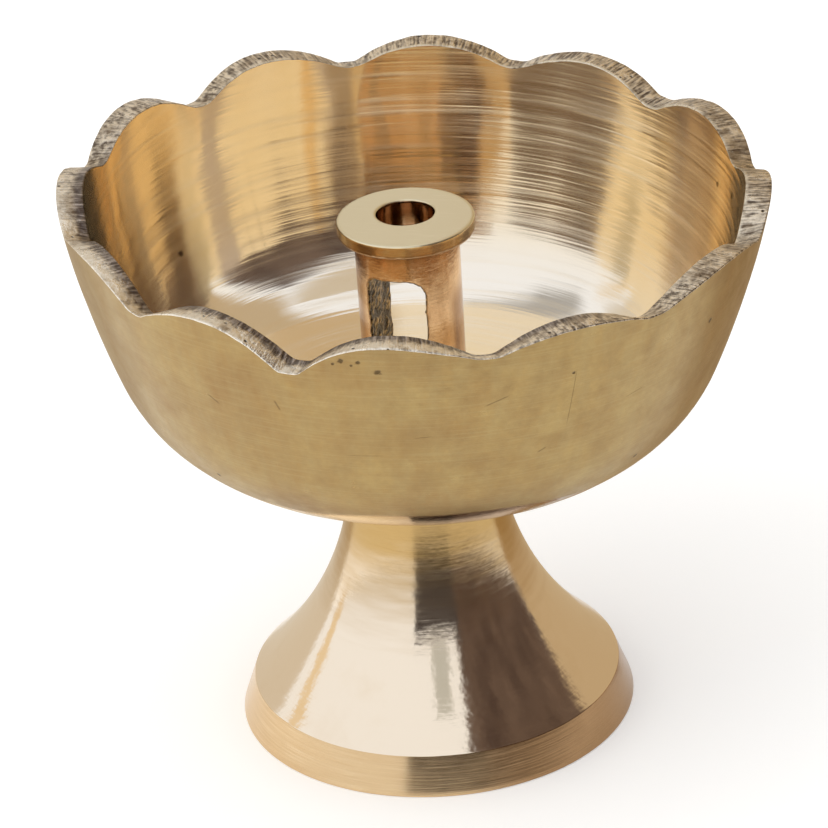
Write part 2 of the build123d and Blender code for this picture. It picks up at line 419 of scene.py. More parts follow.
foot_band, tree, shader = new_finish("foot_band", (0.72, 0.52, 0.30), 0.20)
point = surface_mm(tree)
fine = effect(turning_marks, Point=point, Pitch=0.22, Wander=3.0)
patches = effect(mottle, Point=point, Size=4.0, Seed=4.1, Contrast=2.0)
color = mix_colors(fade(fine, 0.30, 0.75), (0.66, 0.46, 0.25), (0.79, 0.60, 0.37))
# The band is darker towards its +X side.
darker_side = fade(split(point)[0], *DARKER_ASIDE)
color = layered(color, (patches, 1.0, (0.71, 0.51, 0.29)), (darker_side, 0.9, (0.36, 0.21, 0.10)))
dress(shader, color, calc("MULTIPLY_ADD", patches, 0.10, 0.16))
relief(shader, fine, 0.010)
brushed(shader, 0.5)

foot_hollow, tree, shader = new_finish("foot_hollow", (0.36, 0.26, 0.13), 0.55)
point = surface_mm(tree)
sand = effect(mottle, Point=point, Size=0.7, Seed=2.2, Contrast=1.4)
soot = effect(mottle, Point=point, Size=8.0, Seed=7.4, Contrast=2.0)
color = mix_colors(sand, (0.20, 0.135, 0.065), (0.46, 0.34, 0.18))
color = mix_colors(soot, color, (0.30, 0.22, 0.12))
dress(shader, color, calc("MULTIPLY_ADD", sand, 0.25, 0.42))
relief(shader, sand, 0.14)

inputs = {
    "Steps Around": 512,
    "Neck Bottom": SWEEP_TOP * MM,
    "Neck Length": (SEAT_HEIGHT - SWEEP_TOP) * MM,
    "Neck Lean": BOWL_LEAN,
    "Buffing Wave": 0.05 * MM,
    "Polish": foot_polish,
    "Band": foot_band,
    "Hollow": foot_hollow,
}
tree, given = shape_tree("turned_foot", inputs)
parts = split(place_of(tree))
climb = calc("DIVIDE", minus(parts[2], given["Neck Bottom"]), given["Neck Length"])
climb = linked("ShaderNodeClamp", {0: climb}).outputs[0]
dip = times(parts[0], calc("TANGENT", given["Neck Lean"]), climb, -1)
mesh = moved(turned(given), Offset=join(z=dip))
wave = times(noise(point_mm(tree), size=7.0, seed=3.1), given["Buffing Wave"])
mesh = swell(mesh, wave)
close_tree(coat(mesh, [given["Polish"], given["Band"], given["Hollow"]]))

ring_inner = FOOT_RADIUS - RING_WIDTH
skin = SWEEP_RADIUS + FOOT_WALL
skin_low = math.degrees(math.acos((SWEEP_CENTRE[0] - ring_inner) / skin))
skin_high = math.degrees(math.asin((SWEEP_TOP - CROWN_UNDERSIDE) / skin))
sweep_low = math.degrees(math.asin(SWEEP_UP / SWEEP_RADIUS))
inner_skin = arc(SWEEP_CENTRE, skin, 180 + skin_high, 180 + skin_low, 24)
sweep = arc(SWEEP_CENTRE, SWEEP_RADIUS, 180 + sweep_low, 180, 60)
toe, ridge = (FOOT_RADIUS, 0), (RIDGE_RADIUS, BAND_HEIGHT)
hollow = line((STUD_HOLE, CROWN_UNDERSIDE), inner_skin[0], 4) + inner_skin
hollow += line(inner_skin[-1], (ring_inner, RING_EDGE), 2)
hollow += rounded(inner_skin[-1], (ring_inner, 0), toe, RING_EDGE, 4)
toe_arc = rounded((ring_inner, 0), toe, ridge, TOE_EDGE, 6)
ridge_arc = rounded(toe, ridge, sweep[2], RIDGE_EDGE, 5)
band = toe_arc + line(toe_arc[-1], ridge_arc[0], 10)[1:] + ridge_arc[:3]
polish = ridge_arc[3:] + sweep[2:] + line(sweep[-1], (NECK_RADIUS, SEAT_HEIGHT), 4)[1:]
top = line((NECK_RADIUS, SEAT_HEIGHT), (STUD_HOLE, SEAT_HEIGHT), 3)
top += line((STUD_HOLE, SEAT_HEIGHT), (STUD_HOLE, CROWN_UNDERSIDE), 4) + [(STUD_HOLE, CROWN_UNDERSIDE)]
rows = [(*p, 2, 0) for p in hollow] + [(*p, 1, 0) for p in band] + [(*p, 0, 0) for p in polish + top]
foot = made_by(tree, draw_section("foot", rows), inputs)
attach(foot, "stand")
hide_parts("pedestal")

# Clamp nut and washer: a hexagon nut turned from brass bar, and the flat washer stamped
# from sheet that spreads its load under the crown, both up inside the hollow foot.
NUT_FLATS = 8.0
NUT_TOP = 21.6
NUT_BOTTOM = 17.6
NUT_CHAMFER = 0.4
THREAD_HOLE = 2.55
HOLE_CHAMFER = 0.3

fastener_brass, tree, shader = new_finish("fastener_brass", (0.60, 0.45, 0.21), 0.34)
point = surface_mm(tree)
fine = effect(turning_marks, Point=point, Pitch=0.18, Wander=2.0)
stain = effect(mottle, Point=point, Size=2.5, Seed=9.3, Contrast=2.2)
color = mix_colors(fine, (0.44, 0.31, 0.13), (0.70, 0.54, 0.28))
color = mix_colors(fade(stain, 0.45, 1.0), color, (0.30, 0.20, 0.10))
dress(shader, color, calc("MULTIPLY_ADD", stain, 0.22, 0.24))
relief(shader, fine, 0.03)

inputs = {
    "Steps Around": 144,
    "Half Flats": NUT_FLATS / 2 * MM,
    "Finish": fastener_brass,
}
tree, given = shape_tree("hexagon_nut", inputs)
sixth = math.tau / 6
fold = calc("FLOORED_MODULO", calc("ADD", named(tree, "around"), sixth / 2), sixth)
off_flat = calc("COSINE", minus(fold, sixth / 2))
reach = calc("DIVIDE", given["Half Flats"], off_flat)
parts = split(place_of(tree))
radius = calc_vector("LENGTH", join(parts[0], parts[1]))
cut = calc("MINIMUM", calc("DIVIDE", reach, radius), 1.0)
milled = join(times(parts[0], cut), times(parts[1], cut), parts[2])
mesh = moved(turned(given), Position=milled)
close_tree(coat(mesh, [given["Finish"]]))

nut_corner = NUT_FLATS / 2 / math.cos(math.pi / 6)
hole_mouth = THREAD_HOLE + HOLE_CHAMFER
hole_top = (THREAD_HOLE, NUT_TOP - HOLE_CHAMFER)
rows = [hole_top, (THREAD_HOLE, NUT_BOTTOM + HOLE_CHAMFER), (hole_mouth, NUT_BOTTOM)]
rows += line((hole_mouth, NUT_BOTTOM), (NUT_FLATS / 2, NUT_BOTTOM), 4)[1:]
rows += line((NUT_FLATS / 2, NUT_BOTTOM), (nut_corner, NUT_BOTTOM + NUT_CHAMFER), 6)
rows += line((nut_corner, NUT_BOTTOM + NUT_CHAMFER), (nut_corner, NUT_TOP - NUT_CHAMFER), 6)
rows += line((nut_corner, NUT_TOP - NUT_CHAMFER), (NUT_FLATS / 2, NUT_TOP), 6)
rows += [(NUT_FLATS / 2, NUT_TOP), (hole_mouth, NUT_TOP), hole_top]
nut = made_by(tree, draw_section("hexagon_nut", [(*p, 0, 0) for p in rows]), inputs)
nut.data.set_sharp_from_angle(angle=math.radians(25))
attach(nut, "stand")
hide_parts("clamp_nut")


def refinish(node, material):
    """Gives a CAD node that stays as it is a new material."""
    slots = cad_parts[node].data.materials
    slots.clear()
    slots.append(material)


refinish("clamp_washer", fastener_brass)

# Tie stud: a 5 mm brass rod with a rolled thread from end to end, which holds the foot,
# the bowl and the wick holder on one axis.
STUD_RADIUS = 2.5
STUD_BOTTOM = 15.6
STUD_TOP = 38.924
STUD_CHAMFER = 0.5
THREAD_PITCH = 0.8
THREAD_DEPTH = 0.36

inputs = {
    "Steps Around": 64,
    "Pitch": THREAD_PITCH * MM,
    "Depth": THREAD_DEPTH * MM,
    "Finish": fastener_brass,
}
tree, given = shape_tree("threaded_stud", inputs)
parts = split(place_of(tree))
lead = calc("DIVIDE", parts[2], given["Pitch"])
lead = minus(lead, calc("DIVIDE", named(tree, "around"), math.tau))
groove = calc("MULTIPLY_ADD", calc("COSINE", times(lead, math.tau)), 0.5, 0.5)
groove = times(groove, given["Depth"], named(tree, "share"))
outward = calc_vector("NORMALIZE", join(parts[0], parts[1]))
inward = scaled(outward, times(groove, -1))
mesh = moved(turned(given), Offset=inward)
close_tree(coat(mesh, [given["Finish"]]))

thread = line((STUD_RADIUS, STUD_BOTTOM + STUD_CHAMFER), (STUD_RADIUS, STUD_TOP - STUD_CHAMFER), 260)
end_radii = (0, 1.2, STUD_RADIUS - STUD_CHAMFER)
rows = [(radius, STUD_BOTTOM, 0, 0) for radius in end_radii]
rows += [(*p, 0, 1) for p in thread]
rows += [(STUD_RADIUS, STUD_TOP - STUD_CHAMFER, 0, 1)]
rows += [(radius, STUD_TOP, 0, 0) for radius in end_radii[::-1]]
stud = made_by(tree, draw_section("threaded_stud", rows), inputs)
stud.data.set_sharp_from_angle(angle=math.radians(35))
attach(stud, "stand")
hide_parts("tie_stud")

# Bowl: cast, ground satin outside and turned bright inside. The rim's twelve lobes were
# filed by hand, so no two valleys are alike and the face across the wall is never level.
RIM_RADIUS = 36.2
BOWL_HEIGHT = 28.9
WALL_FLARE = math.radians(10.5)
WALL_BOW = 105.0
INNER_FLARE = math.radians(6.5)
INNER_BOW = 66.0
BOTTOM_RISE = math.radians(3.0)
INNER_RISE = math.radians(3.5)
BELLY_RADIUS = 16.0
INNER_BELLY = 11.6
BOWL_WALL = 2.65
BOWL_FLOOR = 3.0
SEAT_RADIUS = 8.4
SPOT_RADIUS = 5.8
SPOT_SINK = 0.66
RIM_INNER = RIM_RADIUS - BOWL_WALL / math.cos(WALL_FLARE)
SHIFTS_OUTSIDE = [-2.2, -0.5, -1.2, 2.4, -0.4, -0.1, 0.0, -0.1, 0.4, 1.2, -0.3, -2.1]
SHIFTS_INSIDE = [-1.0, -0.5, -1.2, 2.4, -0.4, -0.1, 0.0, -0.1, 0.4, 1.2, -0.3, -2.1]
DEPTHS_OUTSIDE = [4.0, 1.7, 1.5, 2.0, 2.5, 2.2, 2.2, 2.5, 3.2, 2.8, 1.8, 2.6]
DEPTHS_INSIDE = [3.6, 2.7, 2.7, 3.0, 1.8, 2.5, 2.0, 2.0, 2.6, 2.0, 2.7, 3.6]
FLAWS_OUTSIDE = [(0.4, 35.7, 26.5, 0.20), (1.7, 35.8, 26.9, 0.32), (3.3, 35.7, 26.4, 0.18),
                 (4.3, 35.8, 26.8, 0.28), (7.3, 35.6, 25.7, 0.42), (38.7, 35.0, 23.1, 0.24),
                 (69.3, 34.8, 22.1, 0.44)]
SCRATCHES_OUTSIDE = [(26.0, 34.5, 21.4, 1.5, 22, 0.13), (39.0, 34.4, 20.0, 4.2, 88, 0.07),
                     (-10.0, 34.3, 20.4, 0.8, 110, 0.18), (-22.6, 33.9, 19.2, 0.9, -35, 0.15),
                     (34.8, 32.3, 14.0, 0.6, 30, 0.14), (14.0, 33.6, 17.5, 1.0, 5, 0.06),
                     (4.0, 33.0, 15.0, 2.2, 3, 0.05), (52.0, 33.8, 18.0, 1.4, 12, 0.06)]
FLAWS_INSIDE = [(112.0, 32.7, 23.9, 0.55), (104.6, 32.8, 24.1, 0.80), (120.0, 32.5, 23.1, 0.45),
                (-109.7, 29.9, 13.5, 0.45)]
SMUDGE_OUTSIDE = (-5.7, -24.8, 5.5)
SMUDGE_REACH = (8.0, 1.5)
BUFFED_ASIDE = 8.0
BUFFED_WIDTH = (16.0, 5.0)
BUFFED_TOP = (4.7, 4.0)
BUFFED_LIFT = 1.5
BROWN_ASIDE = (0.0, 10.0)
WALL_HEIGHT = (5.0, 15.0)
CHATTER_ASIDE = (-8.0, 18.0)
GREY_STRIP_FROM = (21.0, 23.5)
GREY_STRIP_TO = (29.0, 27.0)
FRONT_LEFT = (-0.45, -0.89, 0)
FILE_STROKE = 0.28
SPOT_DRAFT = 0.05
FILE_REACH = 9.0
EDGE = 0.13
SKIN = 0.036


def bowl_mm(tree):
    """The shaded point in the leaning bowl's own frame, in millimetres."""
    feeds = {"Vector": surface_mm(tree), "Location": (0, 0, SEAT_HEIGHT), "Rotation": (0, BOWL_LEAN, 0)}
    return linked("ShaderNodeMapping", feeds, vector_type="TEXTURE").outputs[0]


pits, given = new_tree("pits", "Shader", "Holes", Vector=["Point"], Float=["Spacing", "Share", "Radius"])
feeds = {"Vector": given["Point"], "Scale": calc("DIVIDE", 1.0, given["Spacing"])}
cells = linked("ShaderNodeTexVoronoi", feeds)
lots = linked("ShaderNodeSeparateColor", {0: cells.outputs["Color"]}).outputs
chosen = calc("LESS_THAN", lots[0], given["Share"])
reach = times(given["Radius"], calc("MULTIPLY_ADD", lots[1], 0.7, 0.3))
holes = fade(cells.outputs["Distance"], reach, times(reach, 0.4))
close_tree(times(holes, chosen))

hairlines, given = new_tree(
    "hairlines", "Shader", "Lines", Vector=["Point"], Float=["Length", "Width", "Seed"])
parts = split(given["Point"])
stretched = join(
    calc("DIVIDE", parts[0], given["Length"]),
    calc("DIVIDE", parts[1], given["Width"]),
    calc("DIVIDE", parts[2], given["Width"]),
)
strokes = random_at(stretched, given["Seed"], scale=1.0, detail=1.0)
close_tree(fade(strokes, 0.60, 0.74))


def around_axis(angle, radius, height):
    """A point of the bowl from its angle in degrees, measured from the front towards +X."""
    turn = math.radians(angle)
    return radius * math.sin(turn), -radius * math.cos(turn), height


def flaws(point, ragged, places):
    """1 at listed blemishes and 0 elsewhere; each is an angle, a radius, a height and a size."""
    marks = 0.0
    for angle, radius, height, size in places:
        away = calc_vector("DISTANCE", point, around_axis(angle, radius, height))
        away = calc("MULTIPLY_ADD", ragged, size, away)
        marks = calc("MAXIMUM", marks, fade(away, size * 1.5, size * 0.9))
    return marks


def scratches(point, places):
    """1 in listed scratches; each is a flaw's place, half a length, a slant and a width."""
    marks = 0.0
    for angle, radius, height, reach, slant, width in places:
        turn, tilt = math.radians(angle), math.radians(slant)
        over = (-math.cos(turn) * math.sin(tilt), -math.sin(turn) * math.sin(tilt), math.cos(tilt))
        away = calc_vector("SUBTRACT", point, around_axis(angle, radius, height))
        across = calc_vector("DOT_PRODUCT", away, over)
        distance = calc_vector("LENGTH", away)
        stroke = fade(calc("ABSOLUTE", across), width, width * 0.2)
        stroke = times(stroke, fade(distance, reach, reach * 0.5))
        marks = calc("MAXIMUM", marks, stroke)
    return marks


bowl_outside, tree, shader = new_finish("bowl_outside", (0.52, 0.37, 0.16), 0.36)
point = bowl_mm(tree)
patches = effect(mottle, Point=point, Size=9.0, Seed=3.3, Contrast=3.0)
cloud = effect(mottle, Point=point, Size=2.4, Seed=6.1, Contrast=2.6)
grain = effect(mottle, Point=point, Size=0.5, Seed=7.2, Contrast=2.4)
fine = effect(turning_marks, Point=point, Pitch=0.16, Wander=5.0)
holes = effect(pits, Point=point, Spacing=5.0, Share=0.20, Radius=0.075)
ragged = effect(mottle, Point=point, Size=0.35, Seed=2.4, Contrast=1.5)
holes = calc("MAXIMUM", holes, flaws(point, ragged, FLAWS_OUTSIDE))
parts = split(point)
hung = join(parts[0], parts[1], times(parts[2], 0.12))
bands = effect(mottle, Point=hung, Size=1.3, Seed=9.9, Contrast=3.0)
away = calc_vector("DISTANCE", point, SMUDGE_OUTSIDE)
smudge = times(fade(away, *SMUDGE_REACH), fade(cloud, 0.1, 0.6))
aside = calc("ABSOLUTE", minus(parts[0], BUFFED_ASIDE))
lift = times(fade(aside, *BUFFED_WIDTH), BUFFED_LIFT)
buffed = fade(minus(parts[2], lift), *BUFFED_TOP)
bright = mix_colors(fade(parts[0], *BROWN_ASIDE), (0.78, 0.56, 0.26), (0.30, 0.17, 0.075))
color = mix_colors(patches, (0.365, 0.225, 0.086), (0.50, 0.352, 0.136))
color = layered(
    color,
    (bands, 0.5, (0.44, 0.34, 0.16)),
    (cloud, 0.42, (0.35, 0.215, 0.09)),
    (grain, 0.24, (0.27, 0.18, 0.08)),
    (fade(fine, 0.45, 0.70), 0.22, (0.52, 0.40, 0.19)),
    (smudge, 0.6, (0.29, 0.18, 0.085)),
    (buffed, 1.0, bright),
    (scratches(point, SCRATCHES_OUTSIDE), 0.5, (0.12, 0.075, 0.035)),
    (holes, 0.85, (0.10, 0.065, 0.032)),
)
gloss = calc("MULTIPLY_ADD", cloud, 0.14, calc("MULTIPLY_ADD", fine, 0.12, 0.22))
dress(shader, color, blend_values(buffed, gloss, 0.10))
height = minus(calc("MULTIPLY_ADD", cloud, 0.5, fine), times(holes, 3.0))
relief(shader, height, 0.02)
brushed(shader, 0.5)

bowl_rim, tree, shader = new_finish("bowl_rim", (0.36, 0.31, 0.24), 0.45)
point = bowl_mm(tree)
share = add(tree, "ShaderNodeAttribute", attribute_name="share").outputs["Fac"]
parts = split(point)
flat = join(parts[0], parts[1])
radius = calc_vector("LENGTH", flat)
heading = calc_vector("NORMALIZE", flat)
front_left = calc_vector("DOT_PRODUCT", heading, FRONT_LEFT)
heading = split(scaled(heading, RIM_RADIUS / FILE_STROKE))
filed = join(heading[0], heading[1], times(radius, 0.45))
strokes = effect(mottle, Point=filed, Size=1.0, Seed=2.9, Contrast=2.6)
speckle = effect(mottle, Point=point, Size=0.65, Seed=8.3, Contrast=3.0)
patches = effect(mottle, Point=point, Size=2.4, Seed=5.5, Contrast=3.0)
holes = effect(pits, Point=point, Spacing=1.1, Share=0.28, Radius=0.26)
grain = blend_values(fade(front_left, -0.6, 0.3), 0.30, 0.55)
grain = blend_values(grain, strokes, speckle)
# Painted highlight: the outer half of the rim face towards the front left is made pale, as if it caught
# bright light.
painted_glint = times(fade(share, 0.62, 0.30), fade(front_left, 0.45, 0.80))
painted_glint = times(painted_glint, fade(blend_values(0.5, speckle, patches), 0.80, 0.45))
shade = times(fade(share, 0.48, 0.80), fade(front_left, 0.15, 0.55))
shaded = mix_colors(fade(strokes, 0.35, 0.95), (0.085, 0.066, 0.064), (0.46, 0.41, 0.40))
# The pale inner edge is a filed burr and a painted highlight, shown only on the back right.
burr_and_highlight = times(fade(share, 0.84, 0.95), fade(front_left, 0.0, -0.6))
color = mix_colors(fade(grain, 0.18, 0.76), (0.13, 0.10, 0.08), (0.90, 0.81, 0.68))
color = layered(
    color,
    (fade(patches, 0.5, 1.0), 0.55, (0.24, 0.17, 0.10)),
    (painted_glint, 0.9, (0.93, 0.87, 0.77)),
    (shade, 0.85, shaded),
    (burr_and_highlight, fade(patches, 0.85, 0.35), (0.82, 0.75, 0.63)),
    (holes, 1.0, (0.03, 0.021, 0.014)),
)
dress(shader, color, calc("MULTIPLY_ADD", patches, 0.20, 0.22))
relief(shader, minus(grain, times(holes, 1.2)), 0.13)

bowl_inside, tree, shader = new_finish("bowl_inside", (0.87, 0.74, 0.54), 0.18, 0.97)
point = bowl_mm(tree)
parts = split(point)
wall = fade(parts[2], *WALL_HEIGHT)
chatter = fade(parts[0], *CHATTER_ASIDE)
fine = effect(turning_marks, Point=point, Pitch=0.24, Wander=2.0)
ridges = effect(turning_marks, Point=point, Pitch=0.85, Wander=1.2)
patches = effect(mottle, Point=point, Size=7.0, Seed=1.1, Contrast=2.0)
holes = effect(pits, Point=point, Spacing=7.0, Share=0.18, Radius=0.06)
ragged = effect(mottle, Point=point, Size=0.5, Seed=6.6, Contrast=1.8)
holes = calc("MAXIMUM", holes, times(flaws(point, ragged, FLAWS_INSIDE), 0.8))
# A greyish vertical strip on the +X side of the inner wall.
grey_strip = times(fade(parts[0], *GREY_STRIP_FROM), fade(parts[0], *GREY_STRIP_TO))
sides = mix_colors(patches, (0.89, 0.72, 0.46), (0.93, 0.775, 0.54))
sides = layered(sides, (grey_strip, 0.75, (0.40, 0.325, 0.29)))
color = mix_colors(wall, (0.90, 0.85, 0.78), sides)
# The pale tint along the turning ridges is painted sheen, where the lines catch the light.
color = layered(
    color,
    (fade(ridges, 0.52, 0.72), 0.3, (0.90, 0.80, 0.64)),
    (holes, 1.0, (0.12, 0.075, 0.04)),
)
gloss = calc("MULTIPLY_ADD", fade(ridges, 0.40, 0.75), 0.07, 0.08)
dress(shader, color, calc("MULTIPLY_ADD", chatter, 0.05, gloss))
cut = blend_values(wall, 0.60, blend_values(chatter, 0.32, 1.10))
height = calc("MULTIPLY_ADD", ridges, 2.0, times(fine, 0.5))
relief(shader, times(height, cut), 0.045)
brushed(shader, 1.0)


def pick(index, values):
    """The value at a place in a short list."""
    node = add(index.id_data, "GeometryNodeIndexSwitch", data_type="FLOAT")
    while len(node.index_switch_items) < len(values):
        node.index_switch_items.new()
    feed(node.inputs[0], index)
    for socket, value in zip(node.inputs[1:], values):
        socket.default_value = value
    return node.outputs[0]


inputs = {
    "Steps Around": 900,
    "Lobes": 12,
    "First Valley": -5.0,
    "Rim Height": BOWL_HEIGHT * MM,
    "File Reach": FILE_REACH * MM,
    "Wall Flare": WALL_FLARE,
    "Inner Flare": INNER_FLARE,
    "Valley Rounding": 0.7 * MM,
    "File Marks": 0.18 * MM,
    "Slant Aside": 0.013,
    "Slant Back": -0.006,
    "Hand Wave": 0.10 * MM,
    "Lean": BOWL_LEAN,
    "Seat Height": SEAT_HEIGHT * MM,
    "Outside": bowl_outside,
    "Rim": bowl_rim,
    "Inside": bowl_inside,
}
tree, given = shape_tree("scalloped_bowl", inputs)
step = calc("DIVIDE", 360.0, given["Lobes"])
degrees = minus(calc("DEGREES", named(tree, "around")), given["First Valley"])


def neighbours(place):
    """The valley before a place counted in valleys, the valley after it, and the way between them."""
    before = calc("FLOOR", place)
    after = calc("ADD", before, 1)
    wrapped = [calc("FLOORED_MODULO", valley, given["Lobes"]) for valley in (before, after)]
    return wrapped[0], wrapped[1], calc("FRACT", place)


def across_wall(before, after, way, outside, inside):
    """A table's value between two valleys, and between the outer and the inner edge of the rim."""
    edges = []
    for table in (outside, inside):
        edges.append(blend_values(way, pick(before, table), pick(after, table)))
    return blend_values(named(tree, "share"), *edges)


before, after, way = neighbours(calc("DIVIDE", degrees, step))
shift = across_wall(before, after, way, SHIFTS_OUTSIDE, SHIFTS_INSIDE)
before, after, way = neighbours(calc("DIVIDE", minus(degrees, shift), step))
nearer = times(way, way, calc("MULTIPLY_ADD", way, -2.0, 3.0))
depth = times(across_wall(before, after, nearer, DEPTHS_OUTSIDE, DEPTHS_INSIDE), MM)
flank = calc("ABSOLUTE", calc("MULTIPLY_ADD", way, 2.0, -1.0))
flank = times(flank, flank, times(depth, 1.25))
rounding = times(given["Valley Rounding"], blend_values(named(tree, "share"), 0.5, 1.0))
drop = calc("SMOOTH_MIN", flank, depth, rounding)
parts = split(place_of(tree))
below = minus(parts[2], minus(given["Rim Height"], given["File Reach"]))
ramp = linked("ShaderNodeClamp", {0: calc("DIVIDE", below, given["File Reach"])}).outputs[0]
point = point_mm(tree)
marks = noise(point, size=1.1, seed=5.7, detail=3.0)
marks = calc("ADD", marks, noise(point, size=4.0, seed=1.3))
drop = calc("MULTIPLY_ADD", marks, given["File Marks"], drop)
drop = calc("MULTIPLY_ADD", parts[0], given["Slant Aside"], drop)
drop = calc("MULTIPLY_ADD", parts[1], given["Slant Back"], drop)
drop = times(drop, ramp)
flare = blend_values(named(tree, "share"), given["Wall Flare"], given["Inner Flare"])
draw_in = times(drop, calc("TANGENT", flare), -1)
around = named(tree, "around")
offset = join(
    times(draw_in, calc("SINE", around)),
    times(draw_in, calc("COSINE", around), -1),
    times(drop, -1),
)
mesh = moved(turned(given), Offset=offset)
wave = times(noise(point, size=9.0, seed=8.2), given["Hand Wave"])
mesh = swell(mesh, wave)
feeds = {
    "Geometry": mesh,
    "Translation": join(z=given["Seat Height"]),
    "Rotation": join(y=given["Lean"]),
}
mesh = linked("GeometryNodeTransform", feeds).outputs[0]
close_tree(coat(mesh, [given["Outside"], given["Rim"], given["Inside"]]))


def cupped(heel, lip, rise, flare, bow, belly):
    """Points from the heel to the lip: the rising bottom, the belly's round and the bowed wall."""
    slope = Vector((math.cos(rise), math.sin(rise)))
    wall_middle = Vector(lip) - bow * Vector((math.cos(flare), -math.sin(flare)))
    start = Vector(heel) + belly * Vector((-slope.y, slope.x)) - wall_middle
    ahead = -start.dot(slope)
    along = ahead + math.sqrt(ahead * ahead - start.dot(start) + (bow - belly) ** 2)
    belly_middle = wall_middle + start + slope * along
    meeting = math.degrees(math.atan2(belly_middle.y - wall_middle.y, belly_middle.x - wall_middle.x))
    points = arc(belly_middle, belly, math.degrees(rise) - 90, meeting, 20)
    points += arc(wall_middle, bow, meeting, -math.degrees(flare + 2 * EDGE / bow), 16)[1:]
    return line(heel, points[0], 5) + points


def under(lip, flare):
    """A point on the wall just under the lip, along the slope that the wall has there."""
    return lip[0] - math.sin(flare), lip[1] - math.cos(flare)


lip_out, lip_in = (RIM_RADIUS, BOWL_HEIGHT), (RIM_INNER, BOWL_HEIGHT)
heel_out, heel_in = (SEAT_RADIUS, 0), (SEAT_RADIUS, BOWL_FLOOR)
under_out, under_in = under(lip_out, WALL_FLARE), under(lip_in, INNER_FLARE)
edge_out = rounded(under_out, lip_out, lip_in, EDGE, 3)
edge_in = rounded(lip_out, lip_in, under_in, EDGE, 3)
outside = line((STUD_HOLE, 0), heel_out, 2)
outside += cupped(heel_out, lip_out, BOTTOM_RISE, WALL_FLARE, WALL_BOW, BELLY_RADIUS)
outside += [tuple(Vector(edge_out[0]).lerp(Vector(under_out), SKIN))]
spot_floor = BOWL_FLOOR - SPOT_SINK
inside = [tuple(Vector(edge_in[-1]).lerp(Vector(under_in), SKIN))]
inside += cupped(heel_in, lip_in, INNER_RISE, INNER_FLARE, INNER_BOW, INNER_BELLY)[::-1]
inside += line(heel_in, (SPOT_RADIUS, BOWL_FLOOR), 2)[1:]
inside += [(SPOT_RADIUS, BOWL_FLOOR), (SPOT_RADIUS - SPOT_DRAFT, spot_floor)]
inside += line((SPOT_RADIUS - SPOT_DRAFT, spot_floor), (STUD_HOLE, spot_floor), 2)[1:]
inside += [(STUD_HOLE, spot_floor), (STUD_HOLE, 0)]
face = edge_out + line(edge_out[-1], edge_in[0], 6)[1:] + edge_in
rows = [(*p, 0, 0) for p in outside]
rows += [(*p, 1, min(1, max(0, (RIM_RADIUS - p[0]) / (RIM_RADIUS - RIM_INNER)))) for p in face]
rows += [(*p, 2, 1) for p in inside]
bowl = made_by(tree, draw_section("bowl", rows), inputs)
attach(bowl, "stand")
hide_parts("bowl")

# Seal washer: oiled leather punched from hide, pinched between the wick holder and the
# spot face so that melted butter stays out of the stud's hole.
seal_leather, tree, shader = new_finish("seal_leather", (0.10, 0.055, 0.03), 0.5, 0.0)
point = surface_mm(tree)
grain = effect(mottle, Point=point, Size=0.35, Seed=3.8, Contrast=1.8)
oil = effect(mottle, Point=point, Size=2.2, Seed=8.8, Contrast=2.0)
color = mix_colors(grain, (0.045, 0.024, 0.013), (0.16, 0.09, 0.05))
color = mix_colors(oil, color, (0.07, 0.038, 0.02))
dress(shader, color, calc("MULTIPLY_ADD", oil, -0.25, 0.62))
relief(shader, grain, 0.08)
refinish("seal_washer", seal_leather)

# Wick holder: a cast sleeve, turned and buffed outside, that screws down on the stud. Its
# window is left as cast, and the flange on top is faced and satin.
HOLDER_BOTTOM = 34.924
HOLDER_TOP = 56.524
BORE_RADIUS = 3.0
COLLAR_RADIUS = 5.4
SLEEVE_FOOT = 5.3
FLANGE_RADIUS = 7.05
FLANGE_THICKNESS = 1.5
WINDOW_BOTTOM = 39.424
WINDOW_TOP = 51.624
WINDOW_HALF = 2.92
WINDOW_CORNER = 1.3
CORE_ASIDE = -0.5
CORE_BACK = 0.9
HOLDER_RIGHT = (0.967, 0.255, 0)
REFLECTION_RIGHT = (3.4, 4.3)
REFLECTION_LEFT = (-4.6, -5.3)
REFLECTION_FADE = (51.0, 47.5)
REFLECTION_TOP = (54.8, 54.2)
SHADE_BACK = (0.0, 3.0)
SHADE_TOP = (53.5, 52.0)
BRIM_HEIGHT = (HOLDER_TOP - 1.7, HOLDER_TOP - 0.9)
BRIM_REACH = (5.0, 5.6)
CREASE_TOP = (55.5, 55.2)
CREASE_BOTTOM = (53.6, 54.6)
CELLS_BEYOND = 0.4

holder_brass, tree, shader = new_finish("holder_brass", (0.68, 0.43, 0.20), 0.18)
point = surface_mm(tree)
parts = split(point)
faced = fade(parts[2], HOLDER_TOP - 0.22, HOLDER_TOP - 0.06)
as_cast = add(tree, "ShaderNodeAttribute", attribute_name="as_cast").outputs["Fac"]
fine = effect(turning_marks, Point=point, Pitch=0.2, Wander=2.4)
patches = effect(mottle, Point=point, Size=2.4, Seed=5.1, Contrast=2.0)
squat = calc_vector("MULTIPLY", point, (1, 0.5, 1))
sand = effect(mottle, Point=squat, Size=0.5, Seed=7.7, Contrast=3.6)
strokes = effect(hairlines, Point=point, Length=5.0, Width=0.12, Seed=1.9)
away = calc_vector("DISTANCE", join(parts[0], parts[1]), (CORE_ASIDE, CORE_BACK, 0))
bored = fade(away, BORE_RADIUS + 0.3, BORE_RADIUS + 0.1)
runs = calc_vector("MULTIPLY", point, (1, 1, 0.25))
runs = effect(mottle, Point=runs, Size=1.3, Seed=2.2, Contrast=3.0)
